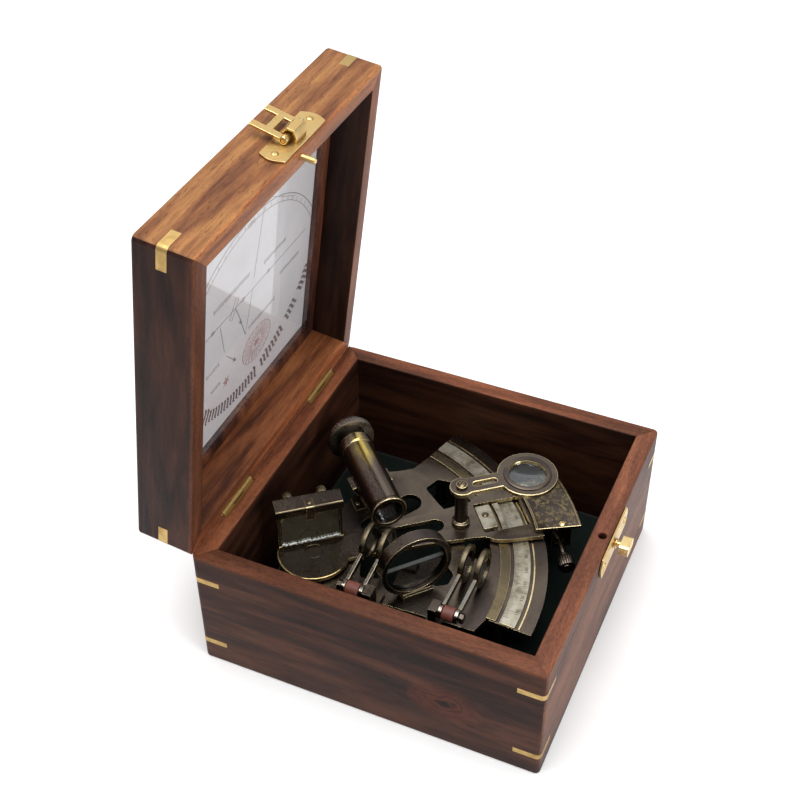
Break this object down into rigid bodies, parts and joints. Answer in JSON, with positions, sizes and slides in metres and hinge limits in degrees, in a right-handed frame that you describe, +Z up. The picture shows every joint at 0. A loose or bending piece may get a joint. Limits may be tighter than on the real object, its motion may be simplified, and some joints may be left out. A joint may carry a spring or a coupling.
{
  "type": "nautical sextant in a hinged case",
  "caption": "Small navigation sextant lying in a square hardwood case with a hinged, glazed lid, hasp and turning catch.",
  "frame": {"origin": "centre of the case's underside", "axes": "+X along the lid hinge, +Y from the latch side to the hinge side, +Z up"},
  "size_m": [0.155, 0.1917, 0.2292],
  "materials": {
    "rosewood": "lacquered red-brown hardwood",
    "felt": "dark green felt",
    "brass": "polished",
    "bronze": "blackened, worn bright at the edges",
    "silver": "silvered scale",
    "steel": "bright plated",
    "card": "printed card",
    "glass": "clear",
    "dark_glass": "tinted",
    "mirror": "silvered glass",
    "fibre": "red-brown fibre",
    "grip_wood": "oiled hardwood"
  },
  "bodies": {
    "case": {"case_bottom": "rosewood", "case_wall_front": "rosewood", "case_wall_back": "rosewood", "case_wall_left": "rosewood", "case_wall_right": "rosewood", "felt_lining": "felt", "catch_plate": "brass", "hinge_leaf_lower_left": "brass", "hinge_leaf_lower_right": "brass"},
    "catch": {"catch_stud": "brass"},
    "lid": {"lid_top_panel": "rosewood", "lid_wall_front": "rosewood", "lid_wall_back": "rosewood", "lid_wall_left": "rosewood", "lid_wall_right": "rosewood", "chart_card": "card", "lid_glass": "glass", "glass_bead": "rosewood", "hasp_plate": "brass", "alignment_pin": "brass", "hinge_leaf_upper_left": "brass", "hinge_leaf_upper_right": "brass"},
    "hasp": {"hasp": "brass"},
    "sextant": {"sextant_frame": "bronze", "arc_scale": "silver", "handle_grip": "grip_wood", "handle_bracket": "bronze", "leg_1": "bronze", "leg_2": "bronze", "leg_3": "bronze", "pivot_screw": "bronze", "telescope_bracket": "bronze", "telescope_tube": "bronze", "objective_lens": "glass", "horizon_mirror_frame": "bronze", "horizon_mirror": "mirror", "index_shade_bracket": "bronze", "index_shade_washer": "fibre", "horizon_shade_bracket": "bronze", "horizon_shade_washer": "fibre"},
    "eyepiece": {"eyepiece": "bronze", "eyepiece_lens": "glass"},
    "index_arm": {"index_arm": "bronze", "end_plate": "bronze", "vernier_plate": "silver", "magnifier_post": "bronze", "index_mirror_bracket": "bronze", "index_mirror": "mirror"},
    "magnifier": {"magnifier_arm": "bronze", "magnifier_lens": "glass"},
    "tangent_screw": {"tangent_screw": "bronze"},
    "clamp_screw": {"clamp_screw": "bronze"},
    "index_shade_1": {"index_shade_ring_1": "steel", "index_shade_glass_1": "dark_glass"},
    "index_shade_2": {"index_shade_ring_2": "steel", "index_shade_glass_2": "dark_glass"},
    "horizon_shade_1": {"horizon_shade_ring_1": "steel", "horizon_shade_glass_1": "dark_glass"},
    "horizon_shade_2": {"horizon_shade_ring_2": "steel", "horizon_shade_glass_2": "dark_glass"}
  },
  "joints": [
    {"name": "lid_hinge", "type": "hinge", "parent": "case", "child": "lid", "pos_m": [0, 0.079, 0.06415], "axis": [-1, 0, 0], "range_deg": [-82.4, 95]},
    {"name": "hasp_pivot", "type": "hinge", "parent": "lid", "child": "hasp", "pos_m": [0.007, 0.0642, 0.2246], "axis": [1, 0, 0], "range_deg": [-6, 172]},
    {"name": "catch_turn", "type": "hinge", "parent": "case", "child": "catch", "pos_m": [0.007, -0.0801, 0.0575], "axis": [0, -1, 0], "range_deg": [0, 90]},
    {"name": "sextant_lift", "type": "slide", "parent": "case", "child": "sextant", "axis": [0, 0, 1], "range_m": [0, 0.12]},
    {"name": "index_arm_swing", "type": "hinge", "parent": "sextant", "child": "index_arm", "pos_m": [-0.0324, 0.0453, 0.0353], "axis": [0, 0, 1], "range_deg": [-8, 9]},
    {"name": "magnifier_swing", "type": "hinge", "parent": "index_arm", "child": "magnifier", "pos_m": [0.01043, -0.00816, 0.059], "axis": [0, 0, 1], "range_deg": [-75, 90]},
    {"name": "tangent_turn", "type": "hinge", "parent": "index_arm", "child": "tangent_screw", "pos_m": [0.02505, -0.05108, 0.029], "axis": [-0.859, -0.512, 0], "continuous": true},
    {"name": "clamp_turn", "type": "hinge", "parent": "index_arm", "child": "clamp_screw", "pos_m": [0.03841, -0.04148, 0.02], "axis": [0, 0, 1], "continuous": true},
    {"name": "eyepiece_focus", "type": "slide", "parent": "sextant", "child": "eyepiece", "axis": [0.7157, 0.6984, 0], "range_m": [-0.003, 0.004]},
    {"name": "index_shade_1_swing", "type": "hinge", "parent": "sextant", "child": "index_shade_1", "pos_m": [-0.05, 0.0214, 0.043], "axis": [0, -1, 0], "range_deg": [0, 100]},
    {"name": "index_shade_2_swing", "type": "hinge", "parent": "sextant", "child": "index_shade_2", "pos_m": [-0.05, 0.0132, 0.043], "axis": [0, -1, 0], "range_deg": [0, 100]},
    {"name": "horizon_shade_1_swing", "type": "hinge", "parent": "sextant", "child": "horizon_shade_1", "pos_m": [-0.0465, -0.0219, 0.043], "axis": [0, -1, 0], "range_deg": [0, 100]},
    {"name": "horizon_shade_2_swing", "type": "hinge", "parent": "sextant", "child": "horizon_shade_2", "pos_m": [-0.0465, -0.0293, 0.043], "axis": [0, -1, 0], "range_deg": [0, 100]}
  ]
}
